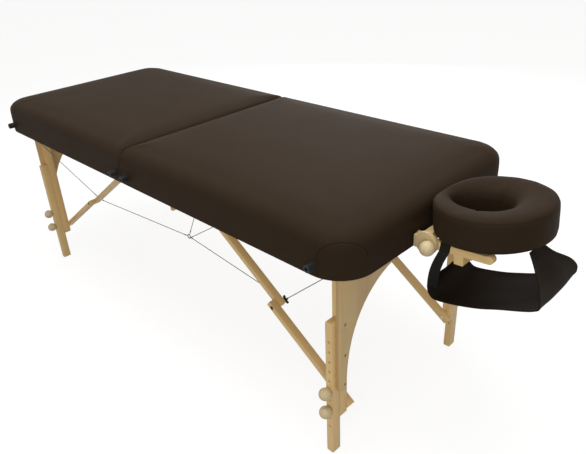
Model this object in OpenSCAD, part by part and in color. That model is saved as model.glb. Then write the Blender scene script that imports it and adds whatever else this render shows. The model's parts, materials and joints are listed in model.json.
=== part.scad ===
// Portable massage table: two hinged upholstered halves, folding wooden leg sets with
// braces and steel cables, height-adjustable lower legs and a plug-in face cradle with an arm sling.
// The hinge line is at x = 0 and the head end is at +X. The near side, with the bumpers, is -Y.

/* [Top] */
// Length of each half of the table
half_l = 927; // [900:1:960]
// Width of the table across the cover
table_w = 762; // [750:1:800]
// Height of the frame's underside above the floor
under_z = 629; // [600:1:660]
// Height of the frame rails
rail_h = 60; // [60:1:70]
// Thickness of the frame rails
rail_t = 16; // [14:1:16]
// Thickness of the plywood deck
deck_t = 4; // [3:1:6]
// Thickness of the foam pad above the deck
foam_h = 60; // [45:1:75]
// Rise of the pad's crown at its middle
crown = 5; // [2:1:10]
// How far the pad's sides draw in between its corners
draw_in = 3; // [0:1:5]
// Plan radius of the outer corners
corner_r = 100; // [80:1:110]
// Radius of the pad's top edge
edge_r = 36; // [20:1:40]

/* [Legs] */
// Distance of the leg pivots from the hinge line
leg_x = 826; // [810:1:830]
// Height of the leg pivots above the underside
pivot_rise = 26; // [26:1:28]
// Width of an upper leg, seen from the side
leg_w = 27; // [24:1:27]
// Height of the upper leg's lower end above the floor
upper_leg_z = 115; // [100:1:120]
// Width of a lower leg, seen from the side
lower_w = 23; // [22:1:24]
// Length of a lower leg
lower_l = 460; // [440:1:480]
// Spacing of the adjusting holes
hole_pitch = 33; // [28:1:33]
// Height of the lower knob
knob_z = 165; // [160:1:170]
// Diameter of a leg knob
knob_d = 36; // [30:1:36]
// Thickness of the arched end panel
panel_t = 12; // [9:1:12]
// Height of the end panel's lower edge
panel_z = 228; // [222:1:234]
// Half-width of the arch at its foot
arch_w = 283; // [275:1:284]
// Height of the arch
arch_h = 325; // [315:1:330]

/* [Braces] */
// Distance of the upper brace pivots from the hinge line
brace_x = 75; // [70:1:85]
// Height of the upper brace pivots above the underside
brace_rise = 41; // [40:1:42]
// How far below the leg pivot the brace meets the leg
brace_drop = 505; // [500:1:506]
// Height of a brace slat
slat_w = 17; // [15:1:18]
// Width of a brace slat across the table
slat_t = 24; // [20:0.5:24]
// Diameter of the steel cables
cable_d = 3.2; // [2:0.2:4]

/* [Face cradle] */
// Distance of the tilt pivot from the hinge line
tilt_x = 985; // [980:1:995]
// Height of the tilt pivot
tilt_z = 658; // [656:1:660]
// Tilt of the cradle at rest
rest_tilt = 5; // [0:1:6]
// Middle of the face cushion
ring_x = 1073; // [1072:1:1080]
// Half-length of the face cushion
ring_a = 139.5; // [135:0.5:140]
// Half-width of the face cushion
ring_b = 146; // [138:1:150]
// Thickness of the face cushion
ring_h = 83; // [70:1:85]
// Distance between the two cradle posts
post_gap = 200; // [180:1:210]
// Diameter of a cradle post
post_d = 22; // [20:1:24]

/* [Hidden] */
$fn = 48;

beech = [0.84, 0.69, 0.47];
ply = [0.80, 0.65, 0.42];
vinyl = [0.20, 0.16, 0.13];
black = [0.07, 0.07, 0.07];
steel = [0.62, 0.62, 0.60];
eps = 0.5;
run = 0.05;

// Frame
seam = 0.5;
cover_t = 2;
half_w = table_w / 2;
rail_y1 = half_w - cover_t;
rail_y0 = rail_y1 - rail_t;
straight_l = half_l - corner_r;
deck_z = under_z + rail_h;
pad_z = deck_z + deck_t;
leaf_t = 1.5;
leaf_gap = 2.2;
leaf_l = 26;
barrel_r = 5;
pin_r = 3;
hinge_l = 700;
knuckles = 14;
centre_x = barrel_r + 1.5;
bumper_x = [35, 832];
bumper_rise = 30;
bumper_d = 23;
bumper_l = 24;
bumper_y = -half_w - bumper_l;
bumper_z = under_z + bumper_rise;
handle_x = half_l / 2;
latch_x = [300, 700];
latch_rise = 30;
latch_reach = 2 * latch_rise;

// Lanes across the table, from the side rail inwards
lower_y1 = rail_y0 - knob_d - 2;
lower_t = 30;
lower_y0 = lower_y1 - lower_t;
leg_y1 = lower_y0 - 0.4;
leg_y0 = leg_y1 - 26.6;
low_slat_y1 = leg_y0 - eps;
low_slat_y0 = low_slat_y1 - slat_t;
up_slat_y1 = low_slat_y0 - eps;
up_slat_y0 = up_slat_y1 - slat_t;
cable_y = up_slat_y0 - 7;

// Leg and brace linkage, in the plane of one side
pivot_z = under_z + pivot_rise;
panel_x = leg_x + leg_w / 2;
rod_r = 5;
bolt_r = 4;
screw_y = leg_y1 - 6;
screw_z = [panel_z + 17, panel_z + 117, panel_z + 217];
brace_z = under_z + brace_rise;
brace_foot_z = pivot_z - brace_drop;
span = leg_x - brace_x;
fall = brace_z - brace_foot_z;
stretched = norm([span, fall]);
folded = norm([span - brace_drop, brace_z - pivot_z]);
upper_l = (stretched + folded) / 2;
brace_angle = atan2(fall, span);
elbow = [brace_x + upper_l * cos(brace_angle), brace_z - upper_l * sin(brace_angle)];
slat_end = 18;
upper_end = 9;
prong_l = 12;
corner_anchor = [872, rail_y0 - 18, 642];
junction = [0, 159, 337];
ring_r = 8;

// Face cradle
cheek_y = 124;
cheek_t = 10;
arm_y = 105;
arm_t = 18.5;
arm_h = 20;
arm_end = 1135;
arm_z = tilt_z - 14;
board_t = 8;
board_z = arm_z + arm_h;
board_r = 112;
face_hole_r = 60;
ring_z = board_z + board_t;
post_z = 654;
cradle_end = 1241.6;
knob_ball_r = 19;

// The origin is below the middle of the whole table, cradle included
mid_x = (cradle_end - half_l) / 2;

module place() {
    translate([-mid_x, 0, 0]) children();
}

module head() {
    place() children();
}

module foot() {
    place() mirror([1, 0, 0]) children();
}

module both_sides() {
    children();
    mirror([0, 1, 0]) children();
}

module near() {
    mirror([0, 1, 0]) children();
}

// Cylinder along Y from y0 to y1 at a place seen from the side
module cross_pin(x, z, r, y0, y1) {
    translate([x, y0, z]) rotate([-90, 0, 0]) cylinder(r = r, h = y1 - y0);
}

// Extrudes an outline drawn in x and z from y0 to y1
module side_extrude(y0, y1) {
    translate([0, y1, 0]) rotate([90, 0, 0]) linear_extrude(y1 - y0) children();
}

// Straight round bar between two points
module bar_between(p, q, r) {
    d = q - p;
    translate(p)
        rotate([0, acos(d.z / norm(d)), atan2(d.y, d.x)])
            cylinder(r = r, h = norm(d));
}

function mean(ring) = [for (k = [0:2]) sum([for (p = ring) p[k]]) / len(ring)];
function sum(list) = list * [for (v = list) 1];
function arc(c, r, a0, a1, n) =
    [for (i = [0:n]) let (a = a0 + (a1 - a0) * i / n) c + r * [cos(a), sin(a)]];
function blend4(p0, p1, p2, p3, t) =
    0.5 * (2 * p1 + (p2 - p0) * t + (2 * p0 - 5 * p1 + 4 * p2 - p3) * t * t
        + (3 * p1 - p0 - 3 * p2 + p3) * t * t * t);
// Smooth curve through the points, with n steps between each two
function smooth(p, n) = let (m = len(p) - 1)
    concat([for (i = [0:m - 1], k = [0:n - 1])
        blend4(p[max(i - 1, 0)], p[i], p[i + 1], p[min(i + 2, m)], k / n)], [p[m]]);

// Skins a stack of rings that run anticlockwise, seen from the last ring, and caps both ends
module skin(rings) {
    n = len(rings[0]);
    m = len(rings);
    last = (m - 1) * n;
    points = [for (ring = rings) each ring];
    walls = [for (j = [0:m - 2], i = [0:n - 1])
        let (a = j * n + i, b = j * n + (i + 1) % n)
            each [[a, a + n, b], [b, a + n, b + n]]];
    caps = [for (i = [0:n - 1])
        let (k = (i + 1) % n)
            each [[m * n, i, k], [m * n + 1, last + k, last + i]]];
    polyhedron(concat(points, [mean(rings[0]), mean(rings[m - 1])]), concat(walls, caps));
}

// Skins rings that follow each other round a closed loop
module skin_loop(rings) {
    n = len(rings[0]);
    m = len(rings);
    polyhedron([for (ring = rings) each ring],
        [for (j = [0:m - 1], i = [0:n - 1])
            let (k = (i + 1) % n, a = j * n, b = ((j + 1) % m) * n)
                each [[a + i, b + i, a + k], [a + k, b + i, b + k]]]);
}

// Plan of one half, inset from the outside of the cover
module half_outline(inset) {
    r = corner_r - inset;
    w = half_w - inset;
    x1 = half_l - inset;
    translate([seam, -w]) square([x1 - r - seam, 2 * w]);
    translate([x1 - r - 1, r - w]) square([r + 1, 2 * (w - r)]);
    for (s = [-1, 1]) translate([x1 - r, s * (w - r)]) circle(r);
}

module rails() {
    color(beech) {
        both_sides() translate([seam + 2, rail_y0, under_z])
            cube([straight_l - seam - 2, rail_t, rail_h]);
        translate([centre_x, -rail_y0, under_z + leaf_gap + leaf_t])
            cube([rail_t, 2 * rail_y0, rail_h - leaf_gap - leaf_t]);
    }
}

module end_rail_plan() {
    intersection() {
        difference() {
            half_outline(cover_t);
            half_outline(cover_t + rail_t);
        }
        translate([straight_l, -half_w]) square([corner_r, table_w]);
    }
}

module post_bores(r) {
    for (s = [-1, 1])
        translate([straight_l, s * post_gap / 2, post_z])
            rotate([0, 90, 0]) cylinder(r = r, h = 2 * corner_r);
}

module end_rail() {
    color(beech) translate([0, 0, under_z]) linear_extrude(rail_h) end_rail_plan();
}

module head_end_rail_bored() {
    color(beech) difference() {
        end_rail();
        post_bores(post_d / 2 + run);
    }
}

module deck() {
    color(ply) translate([0, 0, deck_z]) linear_extrude(deck_t) half_outline(cover_t);
}

module cover_skirt() {
    color(vinyl) translate([0, 0, under_z]) linear_extrude(rail_h + deck_t) difference() {
        half_outline(0);
        half_outline(cover_t);
    }
}

module head_cover_skirt_bored() {
    color(vinyl) difference() {
        cover_skirt();
        post_bores(post_d / 2 + 2);
    }
}

// Soft pad: the plan of one half with its straight sides drawn in, inset by d at height z
seam_r = 14;
function pad_side(p, q, n) = [for (i = [1:n - 1]) p + (q - p) * i / n];
function pad_plan(d) =
    let (x0 = seam + d, x1 = half_l - d, w = half_w - d, r = max(corner_r - d, 20), s = max(seam_r - d, 4))
        concat(arc([x1 - r, r - w], r, -90, 0, 8), pad_side([x1, r - w], [x1, w - r], 4),
            arc([x1 - r, w - r], r, 0, 90, 8), pad_side([x1 - r, w], [x0 + s, w], 6),
            arc([x0 + s, w - s], s, 90, 180, 4), pad_side([x0, w - s], [x0, s - w], 4),
            arc([x0 + s, s - w], s, 180, 270, 4), pad_side([x0 + s, -w], [x1 - r, -w], 6));
function drawn(p) =
    [p.x - draw_in * max(0, sign(p.x - half_l + 8)) * cos(90 * p.y / half_w),
        p.y * (1 - draw_in / half_w * sin(180 * p.x / half_l)), 0];
function pad_ring(d, z) = [for (p = pad_plan(d)) drawn(p) + [0, 0, z]];
function pad_cap(f, z) = let (c = [half_l / 2, 0, 0])
    [for (p = pad_plan(edge_r * 0.75)) let (q = c + f * ([p.x, p.y, 0] - c)) [q.x, q.y, z]];

module cushion() {
    top = pad_z + foam_h;
    color(vinyl) skin(concat(
        [pad_ring(0, pad_z), pad_ring(0, pad_z + 8)],
        [for (a = [0:18:72]) pad_ring(edge_r * (1 - cos(a)), top - edge_r * (1 - sin(a)))],
        [for (f = [0.96, 0.8, 0.55, 0.25]) pad_cap(f, top + crown * (1 - f * f))]));
}

module bumpers() {
    color(black) difference() {
        for (x = bumper_x) difference() {
            cross_pin(x, bumper_z, bumper_d / 2, bumper_y, -half_w + 3);
            cross_pin(x, bumper_z, bumper_d / 6, bumper_y - 1, bumper_y + 8);
        }
        translate([0, 0, under_z]) linear_extrude(rail_h) half_outline(0);
    }
}

// Webbing carry handle on the far side, bowed out to leave room for the fingers
handle_l = 190;
handle_h = 28;
handle_t = 4;
module handle_bow(grow) {
    bow = bumper_l - grow;
    reach = handle_l / 2 - 30 - grow;
    polygon([[-reach - 22, 0], [-reach, bow], [reach, bow], [reach + 22, 0]]);
}

module handle() {
    color(black)
        translate([handle_x, half_w, bumper_z - handle_h / 2]) linear_extrude(handle_h) {
            difference() {
                handle_bow(0);
                translate([0, -0.01]) handle_bow(handle_t);
            }
            for (s = [-1, 1]) translate([s * (handle_l / 2 + 2) - 15, 0]) square([30, handle_t]);
        }
}

// One leaf of the long hinge under the centre seam, with every second knuckle
module hinge_leaf(first) {
    pitch = hinge_l / knuckles;
    color(steel) difference() {
        union() {
            translate([centre_x, -hinge_l / 2, under_z + leaf_gap]) cube([leaf_l, hinge_l, leaf_t]);
            for (i = [first:2:knuckles - 1]) {
                y = i * pitch - hinge_l / 2 + 0.3;
                cross_pin(0, under_z, barrel_r, y, y + pitch - 0.6);
                translate([0, y, under_z + leaf_gap]) cube([centre_x + 1, pitch - 0.6, leaf_t]);
            }
        }
        cross_pin(0, under_z, pin_r + run, -hinge_l, hinge_l);
    }
}

module hinge_pin() {
    color(steel) cross_pin(0, under_z, pin_r, -hinge_l / 2 - 3, hinge_l / 2 + 3);
}

// Hardwood blocks under the deck that carry the leg rod and the upper brace bolts
module frame_blocks() {
    color(beech) both_sides() {
        difference() {
            translate([0, 0, pivot_z - 17]) linear_extrude(deck_z - pivot_z + 17) intersection() {
                half_outline(cover_t + rail_t);
                translate([leg_x - 22, leg_y1 + 0.6]) square([44, rail_y0 - leg_y1]);
            }
            cross_pin(leg_x, pivot_z, rod_r + run, leg_y0, rail_y0 + 1);
        }
        difference() {
            translate([brace_x - 18, up_slat_y1 + eps, under_z + 1.5]) cube([36, 38, rail_h - 1.5]);
            cross_pin(brace_x, brace_z, bolt_r + run, up_slat_y0, up_slat_y1 + 60);
        }
    }
}

module stadium(x0, x1, w) {
    translate([x0, -w / 2]) square([x1 - x0, w]);
    for (x = [x0, x1]) translate([x, 0]) circle(d = w);
}

module upper_legs() {
    color(beech) both_sides() difference() {
        side_extrude(leg_y0, leg_y1)
            translate([leg_x, pivot_z]) rotate(-90) stadium(0, pivot_z - upper_leg_z - leg_w / 2, leg_w);
        cross_pin(leg_x, pivot_z, rod_r, leg_y0 - 1, leg_y1 + 1);
        cross_pin(leg_x, brace_foot_z, bolt_r, leg_y0 - 1, leg_y0 + 14);
        for (z = [knob_z, knob_z + 2 * hole_pitch])
            cross_pin(leg_x, z, bolt_r + run, leg_y0 - 1, leg_y1 + 1);
    }
}

// Arched plywood panel across the outside of both legs
panel_top = pivot_z + 5;
panel_w = lower_y1 - 13;
module panel_outline() {
    difference() {
        union() {
            translate([-leg_y1, panel_z]) square([2 * leg_y1, panel_top - panel_z]);
            translate([-panel_w, panel_z + 12]) square([2 * panel_w, 360]);
            for (s = [-1, 1]) translate([s * (panel_w - 12), panel_z + 12]) circle(12);
        }
        translate([0, panel_z - 1]) polygon([for (a = [0:5:180])
            [arch_w * sign(cos(a)) * pow(abs(cos(a)), 0.83), arch_h * pow(sin(a), 0.83)]]);
    }
}

module panel_face(x) {
    translate([x, 0, 0]) rotate([90, 0, 90]) children();
}

module screw_places() {
    both_sides() for (z = screw_z) translate([panel_x + panel_t, screw_y, z])
        rotate([0, -90, 0]) children();
}

module end_panel() {
    color(ply) difference() {
        panel_face(panel_x) linear_extrude(panel_t) panel_outline();
        screw_places() translate([0, 0, -1]) cylinder(r = 4.2, h = 4);
    }
}

module leg_hardware() {
    color(steel) {
        cross_pin(leg_x, pivot_z, rod_r, -rail_y0 + 8, rail_y0 - 8);
        both_sides() cross_pin(leg_x, brace_foot_z, bolt_r, low_slat_y0 + 1, leg_y0 + 14);
        screw_places() translate([0, 0, 0.6]) cylinder(r = 4, h = 2.4);
    }
}

top_round = 6;
module lower_leg() {
    color(beech) difference() {
        intersection() {
            translate([leg_x - lower_w / 2, lower_y0, 0]) cube([lower_w, lower_t, lower_l]);
            union() {
                side_extrude(lower_y0, lower_y1) translate([leg_x, lower_w / 2]) circle(d = lower_w * 1.28);
                translate([leg_x - lower_w, lower_y0, 10])
                    cube([2 * lower_w, lower_t, lower_l - 10 - top_round]);
                for (x = [-1, 1] * (lower_w / 2 - top_round))
                    cross_pin(leg_x + x, lower_l - top_round, top_round, lower_y0, lower_y1);
                translate([leg_x - lower_w / 2 + top_round, lower_y0, lower_l - 10])
                    cube([lower_w - 2 * top_round, lower_t, 10]);
            }
        }
        for (k = [-2:7])
            cross_pin(leg_x, knob_z + k * hole_pitch, bolt_r + 0.4, lower_y0 - 1, lower_y1 + 1);
    }
}

// Turned wooden ball with its clamping bolt
module leg_knob(k) {
    z = knob_z + k * 2 * hole_pitch;
    seat = lower_y1 + 0.4;
    ball = seat + knob_d / 2 - 1;
    color(beech) translate([leg_x, 0, z]) rotate([-90, 0, 0]) {
        rotate_extrude() intersection() {
            union() {
                translate([0, ball]) circle(d = knob_d);
                translate([0, seat]) square([knob_d / 4, 8]);
            }
            translate([0, seat]) square([knob_d, knob_d]);
        }
        translate([0, 0, leg_y0 + 1]) cylinder(r = bolt_r, h = seat - leg_y0 + 4);
    }
}

// A slat along the stretched brace, from a to b measured from the upper brace pivot
module slat(a, b, y0, y1) {
    side_extrude(y0, y1) translate([brace_x, brace_z]) rotate(-brace_angle)
        translate([a, -slat_w / 2]) square([b - a, slat_w]);
}

module upper_braces() {
    color(beech) both_sides() difference() {
        slat(-slat_w / 2, upper_l + upper_end, up_slat_y0, up_slat_y1);
        cross_pin(brace_x, brace_z, bolt_r, up_slat_y0 - 1, up_slat_y1 + 1);
        cross_pin(elbow.x, elbow.y, bolt_r, up_slat_y0 - 1, up_slat_y1 + 1);
    }
}

module lower_braces() {
    color(beech) both_sides() difference() {
        slat(upper_l - slat_end, stretched + 20, low_slat_y0, low_slat_y1);
        cross_pin(elbow.x, elbow.y, bolt_r, low_slat_y0 - 1, low_slat_y1 + 1);
        cross_pin(leg_x, brace_foot_z, bolt_r + run, low_slat_y0 - 1, low_slat_y1 + 1);
    }
}

// Bolts of the upper braces, and the pronged cleats that hold the cables at the elbows
module brace_hardware() {
    color(black) both_sides() {
        cross_pin(brace_x, brace_z, bolt_r, up_slat_y0, up_slat_y1 + 32);
        cross_pin(elbow.x, elbow.y, bolt_r, up_slat_y0 - 5, up_slat_y1);
        side_extrude(cable_y - 2.5, cable_y + 2.5) translate(elbow)
            for (a = [-20, 40, 100]) rotate(a) stadium(0, prong_l, 7);
    }
}

// Steel cables of one half: cleat to frame corner, and cleat to the junction ring
module cables() {
    hook = [elbow.x, cable_y, elbow.y];
    to_corner = (corner_anchor - hook) / norm(corner_anchor - hook);
    to_ring = (junction - hook) / norm(junction - hook);
    color(steel) both_sides() {
        bar_between(hook + (prong_l + 6) * to_corner, corner_anchor, cable_d / 2);
        bar_between(hook + 8 * to_ring, junction - (ring_r + 4) * to_ring, cable_d / 2);
    }
}

// Junction rings below the hinge, the cable between them and their risers to the hinge
module centre_cables() {
    riser_top = [0, 12, under_z - barrel_r - 2];
    to_top = (riser_top - junction) / norm(riser_top - junction);
    color(steel) {
        both_sides() {
            translate(junction) rotate([90, 0, 0]) rotate_extrude() translate([ring_r, 0]) circle(r = 2);
            bar_between(junction + (ring_r + 1) * to_top, riser_top, cable_d / 2);
        }
        bar_between(junction - [0, 0, ring_r], [0, -junction.y, junction.z - ring_r], cable_d / 2);
    }
}

// Shoulder screws for the latch hooks on one half, and plain studs for them on the other
module latch_screws(head_r) {
    color(steel) for (x = latch_x) {
        cross_pin(x, under_z + latch_rise, pin_r, half_w, half_w + 8);
        cross_pin(x, under_z + latch_rise, head_r, half_w + 6, half_w + 8);
    }
}

module latch_hook(x) {
    z = under_z + latch_rise;
    color(steel) difference() {
        side_extrude(half_w + 1.5, half_w + 5.5) translate([x, z]) rotate(-90) difference() {
            stadium(0, latch_reach, 18);
            translate([latch_reach - 4.2, -4.2]) square([8.4, 24]);
        }
        cross_pin(x, z, pin_r + run, half_w, half_w + 8);
    }
}

module cradle_sockets() {
    color(beech) difference() {
        for (s = [-1, 1]) translate([873, s * post_gap / 2 - 23, post_z - 20])
            cube([half_l - cover_t - rail_t - 873, 46, deck_z - post_z + 20]);
        post_bores(post_d / 2 + run);
    }
}

module cradle_posts() {
    color(beech) for (s = [-1, 1])
        translate([858, s * post_gap / 2, post_z]) rotate([0, 90, 0]) cylinder(d = post_d, h = 80);
}

module cradle_crossbar() {
    color(beech) translate([938, -cheek_y, post_z - 14]) cube([24, 2 * cheek_y, 25]);
}

module cradle_cheeks() {
    color(beech) both_sides() difference() {
        side_extrude(cheek_y, cheek_y + cheek_t) {
            translate([tilt_x - 16, tilt_z]) circle(r = 30);
            translate([936, post_z - 15]) square([tilt_x - 936, 34]);
        }
        cross_pin(tilt_x, tilt_z, bolt_r, cheek_y - 1, cheek_y + cheek_t + 1);
    }
}

module cradle_bolt() {
    color(steel) cross_pin(tilt_x, tilt_z, bolt_r, -cheek_y - cheek_t - 26, cheek_y + cheek_t + 4);
}

// Big turned ball on the near end of the tilt bolt
module cradle_knob() {
    seat = cheek_y + cheek_t + 0.4;
    color(beech) translate([tilt_x, 0, tilt_z]) rotate([90, 0, 0]) difference() {
        rotate_extrude() intersection() {
            union() {
                translate([0, seat + knob_ball_r - 2]) circle(r = knob_ball_r);
                translate([0, seat]) square([knob_ball_r / 2, 10]);
            }
            translate([0, seat]) square(3 * knob_ball_r);
        }
        translate([0, 0, seat - 1]) cylinder(r = bolt_r + run, h = 28);
    }
}

module tilted() {
    translate([tilt_x, 0, tilt_z]) rotate([0, -rest_tilt, 0]) translate([-tilt_x, 0, -tilt_z]) children();
}

// Side arms of the platform, and the rail below that ties them together
module cradle_arms() {
    color(beech) tilted() {
        both_sides() difference() {
            side_extrude(arm_y, arm_y + arm_t) {
                translate([tilt_x, arm_z]) square([arm_end - 11 - tilt_x, arm_h]);
                translate([tilt_x, tilt_z - 3]) circle(r = 11);
                translate([arm_end - 11, arm_z + 11]) circle(r = 11);
            }
            cross_pin(tilt_x, tilt_z, bolt_r + run, arm_y - 1, arm_y + arm_t + 1);
        }
        translate([1038, -arm_y - arm_t, arm_z - 24]) cube([24, 2 * (arm_y + arm_t), 24]);
    }
}

module cradle_platform() {
    color(ply) tilted() translate([0, 0, board_z]) linear_extrude(board_t) difference() {
        intersection() {
            translate([ring_x, 0]) circle(board_r);
            translate([tilt_x - 12, -board_r]) square(2 * board_r);
        }
        translate([1046, 0]) circle(face_hole_r);
    }
}

// Face cushion: a padded oval ring, thick at the brow and low and narrow at the chin
face_hole_x = 1040;
face_hole_a = 74;
face_hole_b = 56;
pad_section = [[1, 0], [1, 0.55], [0.97, 0.82], [0.88, 0.97], [0.7, 1], [0.3, 0.98], [-0.2, 0.92],
    [-0.6, 0.8], [-0.87, 0.55], [-1, 0.15], [-1, -0.6], [-0.94, -0.9], [-0.8, -1], [0.8, -1],
    [0.95, -0.93], [1, -0.7]];
function ring_section(u) =
    let (outer = [ring_x + ring_a * cos(u), ring_b * sin(u)],
        inner = [face_hole_x + face_hole_a * cos(u), face_hole_b * sin(u) * (1 + 0.2 * cos(u))],
        middle = (outer + inner) / 2, half = (outer - inner) / 2,
        dip = 9 * pow(max(0, -cos(u)), 8), high = (ring_h - dip) / 2)
        [for (c = pad_section)
            [middle.x + half.x * c.x, middle.y + half.y * c.x, ring_z + high * (1 + c.y)]];

module face_cushion() {
    color(vinyl) tilted() skin_loop([for (u = [0:9:359]) ring_section(u)]);
}

// Arm sling: a cloth hammock hung by two straps from the arms and by its outer end from the platform
sling_path = [[966, 546], [963, 516], [974, 494], [1000, 488], [1080, 507], [1155, 536],
    [1214, 562], [1236, 578], [1240, 598], [1229, 626], [1206, 656], [1184, 680]];
sling_half = [[92], [99], [102], [102], [101], [101], [102], [103], [102], [92], [64], [34]];
sling_t = 2.4;
function sling_ring(p, w, d) = let (n = [d.y, -d.x] / norm(d) * sling_t / 2)
    concat([for (v = [-1:0.25:1]) sling_point(p + n, w, v)],
        [for (v = [1:-0.25:-1]) sling_point(p - n, w, v)]);
function sling_point(q, w, v) = [q.x, w * v, q.y + 7 * (v * v - 1) * min(1, max(0, (q.x - 966) / 40))
    * min(1, max(0, (640 - q.y) / 60))];

module sling_strap() {
    skin([for (e = [[968, 92, 541], [981, 105, 592], [995, 112, 643]])
        [for (c = [[-1, -11], [1, -11], [1, 11], [-1, 11]]) [e[0] + c[0] * 1.2, e[1] + c[1], e[2]]]]);
}

module arm_sling() {
    path = smooth(sling_path, 3);
    half = smooth(sling_half, 3);
    m = len(path) - 1;
    color(vinyl) {
        skin([for (i = [0:m]) sling_ring(path[i], half[i][0], path[min(i + 1, m)] - path[max(i - 1, 0)])]);
        both_sides() sling_strap();
    }
}

foot() rails();  // foot_rails
foot() end_rail();  // foot_end_rail
foot() deck();  // foot_deck
foot() cover_skirt();  // foot_cover_skirt
foot() cushion();  // foot_cushion
foot() bumpers();  // foot_bumpers
foot() handle();  // foot_handle
foot() hinge_leaf(0);  // foot_hinge_leaf
foot() frame_blocks();  // foot_frame_blocks
foot() latch_screws(5.5);  // latch_pins
head() rails();  // head_rails
head() head_end_rail_bored();  // head_end_rail
head() deck();  // head_deck
head() head_cover_skirt_bored();  // head_cover_skirt
head() cushion();  // head_cushion
head() bumpers();  // head_bumpers
head() handle();  // head_handle
head() hinge_leaf(1);  // head_hinge_leaf
head() frame_blocks();  // head_frame_blocks
head() latch_screws(pin_r);  // latch_studs
head() cradle_sockets();
foot() latch_hook(latch_x[0]);  // inner_latch_hook
foot() latch_hook(latch_x[1]);  // outer_latch_hook
place() hinge_pin();
place() centre_cables();
foot() upper_legs();  // foot_upper_legs
foot() end_panel();  // foot_end_panel
foot() leg_hardware();  // foot_leg_hardware
head() upper_legs();  // head_upper_legs
head() end_panel();  // head_end_panel
head() leg_hardware();  // head_leg_hardware
foot() near() lower_leg();  // foot_near_lower_leg
foot() lower_leg();  // foot_far_lower_leg
head() near() lower_leg();  // head_near_lower_leg
head() lower_leg();  // head_far_lower_leg
foot() near() leg_knob(1);  // foot_near_top_knob
foot() near() leg_knob(0);  // foot_near_low_knob
foot() leg_knob(1);  // foot_far_top_knob
foot() leg_knob(0);  // foot_far_low_knob
head() near() leg_knob(1);  // head_near_top_knob
head() near() leg_knob(0);  // head_near_low_knob
head() leg_knob(1);  // head_far_top_knob
head() leg_knob(0);  // head_far_low_knob
foot() upper_braces();  // foot_upper_braces
foot() lower_braces();  // foot_lower_braces
foot() brace_hardware();  // foot_brace_hardware
foot() cables();  // foot_cables
head() upper_braces();  // head_upper_braces
head() lower_braces();  // head_lower_braces
head() brace_hardware();  // head_brace_hardware
head() cables();  // head_cables
head() cradle_posts();
head() cradle_crossbar();
head() cradle_cheeks();
head() cradle_bolt();
head() cradle_knob();
head() cradle_arms();
head() cradle_platform();
head() face_cushion();
head() arm_sling();
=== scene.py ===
import json
import math

import bmesh
import bpy
from mathutils import Matrix, Vector, noise
from mathutils.bvhtree import BVHTree

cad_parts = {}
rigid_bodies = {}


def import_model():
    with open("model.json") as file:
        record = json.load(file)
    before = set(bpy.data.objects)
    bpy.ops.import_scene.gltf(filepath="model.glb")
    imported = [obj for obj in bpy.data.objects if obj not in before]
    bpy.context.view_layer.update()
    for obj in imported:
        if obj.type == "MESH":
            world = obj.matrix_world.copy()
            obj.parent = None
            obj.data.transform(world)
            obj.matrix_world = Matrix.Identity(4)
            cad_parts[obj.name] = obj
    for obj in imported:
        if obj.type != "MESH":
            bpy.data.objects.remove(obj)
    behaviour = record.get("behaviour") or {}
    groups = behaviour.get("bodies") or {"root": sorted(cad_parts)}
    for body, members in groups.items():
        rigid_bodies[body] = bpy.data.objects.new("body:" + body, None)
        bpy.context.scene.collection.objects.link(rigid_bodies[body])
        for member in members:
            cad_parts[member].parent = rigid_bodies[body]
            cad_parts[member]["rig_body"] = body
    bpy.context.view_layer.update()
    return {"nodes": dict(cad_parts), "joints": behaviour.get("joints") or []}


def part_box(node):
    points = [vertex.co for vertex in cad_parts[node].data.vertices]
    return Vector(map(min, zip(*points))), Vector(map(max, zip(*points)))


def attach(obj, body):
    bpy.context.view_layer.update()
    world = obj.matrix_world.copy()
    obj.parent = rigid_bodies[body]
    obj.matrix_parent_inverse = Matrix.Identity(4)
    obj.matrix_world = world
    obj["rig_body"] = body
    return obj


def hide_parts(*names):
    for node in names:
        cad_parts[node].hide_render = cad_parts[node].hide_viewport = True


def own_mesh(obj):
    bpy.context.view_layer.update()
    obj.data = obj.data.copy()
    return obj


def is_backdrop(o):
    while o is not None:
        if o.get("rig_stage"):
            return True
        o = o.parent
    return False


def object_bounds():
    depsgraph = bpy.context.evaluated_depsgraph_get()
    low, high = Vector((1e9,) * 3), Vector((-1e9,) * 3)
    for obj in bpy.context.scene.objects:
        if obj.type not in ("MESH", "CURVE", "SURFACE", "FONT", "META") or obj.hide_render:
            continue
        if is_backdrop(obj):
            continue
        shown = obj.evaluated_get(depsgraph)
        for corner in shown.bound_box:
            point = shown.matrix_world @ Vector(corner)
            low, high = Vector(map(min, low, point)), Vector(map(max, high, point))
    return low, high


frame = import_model()
joint_at = {j["name"]: Vector(j["pos_m"]) for j in frame["joints"] if "pos_m" in j}
hinge_line = joint_at["head_fold"]
HALVES = {"foot": -1, "head": 1}


# The stage
# A plain pale floor under a soft overhead lamp, with weaker lamps in front and behind. The camera stands
# off the near corner of the head end, above the table, and looks down along it.
class Wire:
    """A shader socket. Sums on it add the Math nodes they need."""

    def __init__(self, finish, socket):
        self.finish = finish
        self.socket = socket

    def maths(self, operation, *values):
        return self.finish.node("ShaderNodeMath", {"operation": operation}, dict(enumerate(values)))[0]

    def __add__(self, other):
        return self.maths("ADD", self, other)

    def __sub__(self, other):
        return self.maths("SUBTRACT", self, other)

    def __rsub__(self, other):
        return self.maths("SUBTRACT", other, self)

    def __mul__(self, other):
        return self.maths("MULTIPLY", self, other)

    __radd__ = __add__

    def wave(self):
        return self.maths("SINE", self)

    def size(self):
        return self.maths("ABSOLUTE", self)

    def between(self, low, high):
        ramp = {"interpolation_type": "SMOOTHSTEP"}
        return self.finish.node("ShaderNodeMapRange", ramp, {"Value": self, 1: low, 2: high})[0]


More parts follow.
